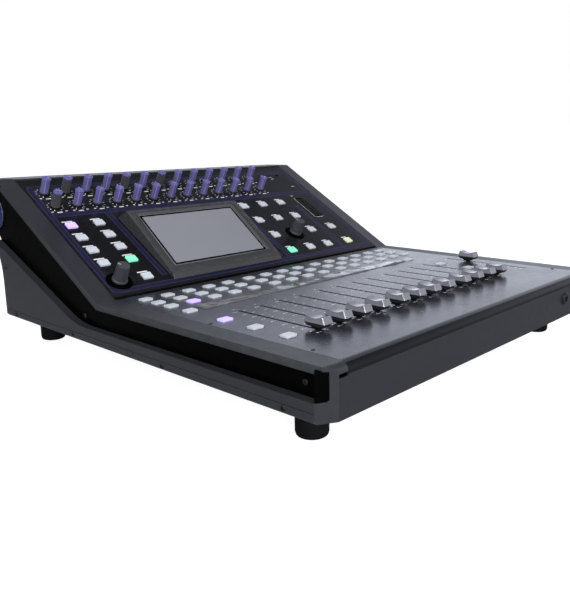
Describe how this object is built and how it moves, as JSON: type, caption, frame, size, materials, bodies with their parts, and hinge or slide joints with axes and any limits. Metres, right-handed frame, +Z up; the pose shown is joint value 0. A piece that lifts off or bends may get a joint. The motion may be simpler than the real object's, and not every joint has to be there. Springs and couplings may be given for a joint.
{
  "type": "mixing console",
  "caption": "Tabletop audio mixing console with a low fader deck, an inclined bridge with rotary knobs and a raised touch screen, side cheeks and rubber feet.",
  "frame": {"origin": "centre of the bounding box's footprint, on the surface the feet stand on", "axes": "+X to the operator's right, +Y towards the rear panel, +Z up"},
  "size_m": [0.469, 0.533, 0.1865],
  "materials": {
    "black_metal": "satin black powder coat",
    "grey_metal": "satin dark grey metallic paint",
    "dark_plastic": "fine-textured moulding",
    "key_rubber": "translucent pale silicone",
    "smoke_plastic": "semi-gloss smoke grey",
    "violet_plastic": "semi-gloss violet",
    "display_glass": "anti-glare display face, switched off",
    "board_resin": "solder mask",
    "foot_rubber": "matt black"
  },
  "bodies": {
    "chassis": {"base_tray": "black_metal", "deck_panel": "grey_metal", "bridge_panel": "black_metal", "rear_panel": "black_metal", "left_cheek": "dark_plastic", "right_cheek": "dark_plastic", "screen_bezel": "dark_plastic", "touch_display": "display_glass", "fader_board": "board_resin", "bridge_board": "board_resin", "connector_board": "board_resin", "power_supply": "black_metal", "front_left_foot": "foot_rubber", "front_right_foot": "foot_rubber", "rear_left_foot": "foot_rubber", "rear_right_foot": "foot_rubber"},
    "fader_01_body": {"fader_01": "smoke_plastic"},
    "fader_02_body": {"fader_02": "smoke_plastic"},
    "fader_03_body": {"fader_03": "smoke_plastic"},
    "fader_04_body": {"fader_04": "smoke_plastic"},
    "fader_05_body": {"fader_05": "smoke_plastic"},
    "fader_06_body": {"fader_06": "smoke_plastic"},
    "fader_07_body": {"fader_07": "smoke_plastic"},
    "fader_08_body": {"fader_08": "smoke_plastic"},
    "fader_09_body": {"fader_09": "smoke_plastic"},
    "fader_10_body": {"fader_10": "smoke_plastic"},
    "fader_11_body": {"fader_11": "smoke_plastic"},
    "fader_12_body": {"fader_12": "smoke_plastic"},
    "fader_master_body": {"fader_master": "smoke_plastic"},
    "upper_knob_01_body": {"upper_knob_01": "violet_plastic"},
    "upper_knob_02_body": {"upper_knob_02": "violet_plastic"},
    "upper_knob_03_body": {"upper_knob_03": "violet_plastic"},
    "upper_knob_04_body": {"upper_knob_04": "violet_plastic"},
    "upper_knob_05_body": {"upper_knob_05": "violet_plastic"},
    "upper_knob_06_body": {"upper_knob_06": "violet_plastic"},
    "upper_knob_07_body": {"upper_knob_07": "violet_plastic"},
    "upper_knob_08_body": {"upper_knob_08": "violet_plastic"},
    "upper_knob_09_body": {"upper_knob_09": "violet_plastic"},
    "upper_knob_10_body": {"upper_knob_10": "violet_plastic"},
    "upper_knob_11_body": {"upper_knob_11": "violet_plastic"},
    "upper_knob_12_body": {"upper_knob_12": "violet_plastic"},
    "upper_knob_13_body": {"upper_knob_13": "violet_plastic"},
    "lower_knob_01_body": {"lower_knob_01": "violet_plastic"},
    "lower_knob_02_body": {"lower_knob_02": "violet_plastic"},
    "lower_knob_03_body": {"lower_knob_03": "violet_plastic"},
    "lower_knob_04_body": {"lower_knob_04": "violet_plastic"},
    "lower_knob_05_body": {"lower_knob_05": "violet_plastic"},
    "lower_knob_06_body": {"lower_knob_06": "violet_plastic"},
    "lower_knob_07_body": {"lower_knob_07": "violet_plastic"},
    "lower_knob_08_body": {"lower_knob_08": "violet_plastic"},
    "lower_knob_09_body": {"lower_knob_09": "violet_plastic"},
    "lower_knob_10_body": {"lower_knob_10": "violet_plastic"},
    "lower_knob_11_body": {"lower_knob_11": "violet_plastic"},
    "lower_knob_12_body": {"lower_knob_12": "violet_plastic"},
    "lower_knob_13_body": {"lower_knob_13": "violet_plastic"},
    "left_encoder_body": {"left_encoder": "dark_plastic"},
    "right_encoder_body": {"right_encoder": "dark_plastic"},
    "deck_keymat_body": {"deck_keymat": "key_rubber"},
    "bridge_keymat_body": {"bridge_keymat": "key_rubber"},
    "rocker_body": {"power_rocker": "dark_plastic"}
  },
  "joints": [
    {"name": "fader_01_slide", "type": "slide", "parent": "chassis", "child": "fader_01_body", "axis": [0, 1, 0], "range_m": [-0.0063, 0.0937]},
    {"name": "fader_02_slide", "type": "slide", "parent": "chassis", "child": "fader_02_body", "axis": [0, 1, 0], "range_m": [-0.0063, 0.0937]},
    {"name": "fader_03_slide", "type": "slide", "parent": "chassis", "child": "fader_03_body", "axis": [0, 1, 0], "range_m": [-0.0063, 0.0937]},
    {"name": "fader_04_slide", "type": "slide", "parent": "chassis", "child": "fader_04_body", "axis": [0, 1, 0], "range_m": [-0.0063, 0.0937]},
    {"name": "fader_05_slide", "type": "slide", "parent": "chassis", "child": "fader_05_body", "axis": [0, 1, 0], "range_m": [-0.0063, 0.0937]},
    {"name": "fader_06_slide", "type": "slide", "parent": "chassis", "child": "fader_06_body", "axis": [0, 1, 0], "range_m": [-0.0063, 0.0937]},
    {"name": "fader_07_slide", "type": "slide", "parent": "chassis", "child": "fader_07_body", "axis": [0, 1, 0], "range_m": [-0.0063, 0.0937]},
    {"name": "fader_08_slide", "type": "slide", "parent": "chassis", "child": "fader_08_body", "axis": [0, 1, 0], "range_m": [-0.0063, 0.0937]},
    {"name": "fader_09_slide", "type": "slide", "parent": "chassis", "child": "fader_09_body", "axis": [0, 1, 0], "range_m": [-0.0063, 0.0937]},
    {"name": "fader_10_slide", "type": "slide", "parent": "chassis", "child": "fader_10_body", "axis": [0, 1, 0], "range_m": [-0.0063, 0.0937]},
    {"name": "fader_11_slide", "type": "slide", "parent": "chassis", "child": "fader_11_body", "axis": [0, 1, 0], "range_m": [-0.0063, 0.0937]},
    {"name": "fader_12_slide", "type": "slide", "parent": "chassis", "child": "fader_12_body", "axis": [0, 1, 0], "range_m": [-0.0063, 0.0937]},
    {"name": "fader_master_slide", "type": "slide", "parent": "chassis", "child": "fader_master_body", "axis": [0, 1, 0], "range_m": [-0.073, 0.027]},
    {"name": "upper_knob_01_turn", "type": "hinge", "parent": "chassis", "child": "upper_knob_01_body", "pos_m": [-0.1891, 0.19283, 0.16729], "axis": [0, -0.4939, 0.8695], "range_deg": [-300, 0]},
    {"name": "upper_knob_02_turn", "type": "hinge", "parent": "chassis", "child": "upper_knob_02_body", "pos_m": [-0.16336, 0.19283, 0.16729], "axis": [0, -0.4939, 0.8695], "range_deg": [-150, 150]},
    {"name": "upper_knob_03_turn", "type": "hinge", "parent": "chassis", "child": "upper_knob_03_body", "pos_m": [-0.13762, 0.19283, 0.16729], "axis": [0, -0.4939, 0.8695], "range_deg": [-300, 0]},
    {"name": "upper_knob_04_turn", "type": "hinge", "parent": "chassis", "child": "upper_knob_04_body", "pos_m": [-0.11188, 0.19283, 0.16729], "axis": [0, -0.4939, 0.8695], "range_deg": [-300, 0]},
    {"name": "upper_knob_05_turn", "type": "hinge", "parent": "chassis", "child": "upper_knob_05_body", "pos_m": [-0.08614, 0.19283, 0.16729], "axis": [0, -0.4939, 0.8695], "range_deg": [-150, 150]},
    {"name": "upper_knob_06_turn", "type": "hinge", "parent": "chassis", "child": "upper_knob_06_body", "pos_m": [-0.0604, 0.19283, 0.16729], "axis": [0, -0.4939, 0.8695], "range_deg": [-300, 0]},
    {"name": "upper_knob_07_turn", "type": "hinge", "parent": "chassis", "child": "upper_knob_07_body", "pos_m": [-0.03466, 0.19283, 0.16729], "axis": [0, -0.4939, 0.8695], "range_deg": [-150, 150]},
    {"name": "upper_knob_08_turn", "type": "hinge", "parent": "chassis", "child": "upper_knob_08_body", "pos_m": [-0.00892, 0.19283, 0.16729], "axis": [0, -0.4939, 0.8695], "range_deg": [-300, 0]},
    {"name": "upper_knob_09_turn", "type": "hinge", "parent": "chassis", "child": "upper_knob_09_body", "pos_m": [0.01682, 0.19283, 0.16729], "axis": [0, -0.4939, 0.8695], "range_deg": [-300, 0]},
    {"name": "upper_knob_10_turn", "type": "hinge", "parent": "chassis", "child": "upper_knob_10_body", "pos_m": [0.04256, 0.19283, 0.16729], "axis": [0, -0.4939, 0.8695], "range_deg": [-300, 0]},
    {"name": "upper_knob_11_turn", "type": "hinge", "parent": "chassis", "child": "upper_knob_11_body", "pos_m": [0.0683, 0.19283, 0.16729], "axis": [0, -0.4939, 0.8695], "range_deg": [-300, 0]},
    {"name": "upper_knob_12_turn", "type": "hinge", "parent": "chassis", "child": "upper_knob_12_body", "pos_m": [0.09404, 0.19283, 0.16729], "axis": [0, -0.4939, 0.8695], "range_deg": [-300, 0]},
    {"name": "upper_knob_13_turn", "type": "hinge", "parent": "chassis", "child": "upper_knob_13_body", "pos_m": [0.11978, 0.19283, 0.16729], "axis": [0, -0.4939, 0.8695], "range_deg": [-300, 0]},
    {"name": "lower_knob_01_turn", "type": "hinge", "parent": "chassis", "child": "lower_knob_01_body", "pos_m": [-0.1891, 0.16901, 0.15376], "axis": [0, -0.4939, 0.8695], "range_deg": [-150, 150]},
    {"name": "lower_knob_02_turn", "type": "hinge", "parent": "chassis", "child": "lower_knob_02_body", "pos_m": [-0.16336, 0.16901, 0.15376], "axis": [0, -0.4939, 0.8695], "range_deg": [-300, 0]},
    {"name": "lower_knob_03_turn", "type": "hinge", "parent": "chassis", "child": "lower_knob_03_body", "pos_m": [-0.13762, 0.16901, 0.15376], "axis": [0, -0.4939, 0.8695], "range_deg": [-300, 0]},
    {"name": "lower_knob_04_turn", "type": "hinge", "parent": "chassis", "child": "lower_knob_04_body", "pos_m": [-0.11188, 0.16901, 0.15376], "axis": [0, -0.4939, 0.8695], "range_deg": [-300, 0]},
    {"name": "lower_knob_05_turn", "type": "hinge", "parent": "chassis", "child": "lower_knob_05_body", "pos_m": [-0.08614, 0.16901, 0.15376], "axis": [0, -0.4939, 0.8695], "range_deg": [-300, 0]},
    {"name": "lower_knob_06_turn", "type": "hinge", "parent": "chassis", "child": "lower_knob_06_body", "pos_m": [-0.0604, 0.16901, 0.15376], "axis": [0, -0.4939, 0.8695], "range_deg": [-300, 0]},
    {"name": "lower_knob_07_turn", "type": "hinge", "parent": "chassis", "child": "lower_knob_07_body", "pos_m": [-0.03466, 0.16901, 0.15376], "axis": [0, -0.4939, 0.8695], "range_deg": [-300, 0]},
    {"name": "lower_knob_08_turn", "type": "hinge", "parent": "chassis", "child": "lower_knob_08_body", "pos_m": [-0.00892, 0.16901, 0.15376], "axis": [0, -0.4939, 0.8695], "range_deg": [-300, 0]},
    {"name": "lower_knob_09_turn", "type": "hinge", "parent": "chassis", "child": "lower_knob_09_body", "pos_m": [0.01682, 0.16901, 0.15376], "axis": [0, -0.4939, 0.8695], "range_deg": [-300, 0]},
    {"name": "lower_knob_10_turn", "type": "hinge", "parent": "chassis", "child": "lower_knob_10_body", "pos_m": [0.04256, 0.16901, 0.15376], "axis": [0, -0.4939, 0.8695], "range_deg": [-300, 0]},
    {"name": "lower_knob_11_turn", "type": "hinge", "parent": "chassis", "child": "lower_knob_11_body", "pos_m": [0.0683, 0.16901, 0.15376], "axis": [0, -0.4939, 0.8695], "range_deg": [-300, 0]},
    {"name": "lower_knob_12_turn", "type": "hinge", "parent": "chassis", "child": "lower_knob_12_body", "pos_m": [0.09404, 0.16901, 0.15376], "axis": [0, -0.4939, 0.8695], "range_deg": [-300, 0]},
    {"name": "lower_knob_13_turn", "type": "hinge", "parent": "chassis", "child": "lower_knob_13_body", "pos_m": [0.11978, 0.16901, 0.15376], "axis": [0, -0.4939, 0.8695], "range_deg": [-300, 0]},
    {"name": "left_encoder_turn", "type": "hinge", "parent": "chassis", "child": "left_encoder_body", "pos_m": [-0.189, 0.04876, 0.08544], "axis": [0, -0.4939, 0.8695], "continuous": true},
    {"name": "right_encoder_turn", "type": "hinge", "parent": "chassis", "child": "right_encoder_body", "pos_m": [0.0955, 0.0765, 0.1012], "axis": [0, -0.4939, 0.8695], "continuous": true},
    {"name": "deck_keymat_press", "type": "slide", "parent": "chassis", "child": "deck_keymat_body", "axis": [0, 0, -1], "range_m": [0, 0.001], "stiffness_N_per_m": 3000, "springref_m": -0.0005},
    {"name": "bridge_keymat_press", "type": "slide", "parent": "chassis", "child": "bridge_keymat_body", "axis": [0, 0.4939, -0.8695], "range_m": [0, 0.001], "stiffness_N_per_m": 3000, "springref_m": -0.0005},
    {"name": "power_rocker_tilt", "type": "hinge", "parent": "chassis", "child": "rocker_body", "pos_m": [-0.14, 0.209, 0.054], "axis": [1, 0, 0], "range_deg": [-16, 0]}
  ]
}
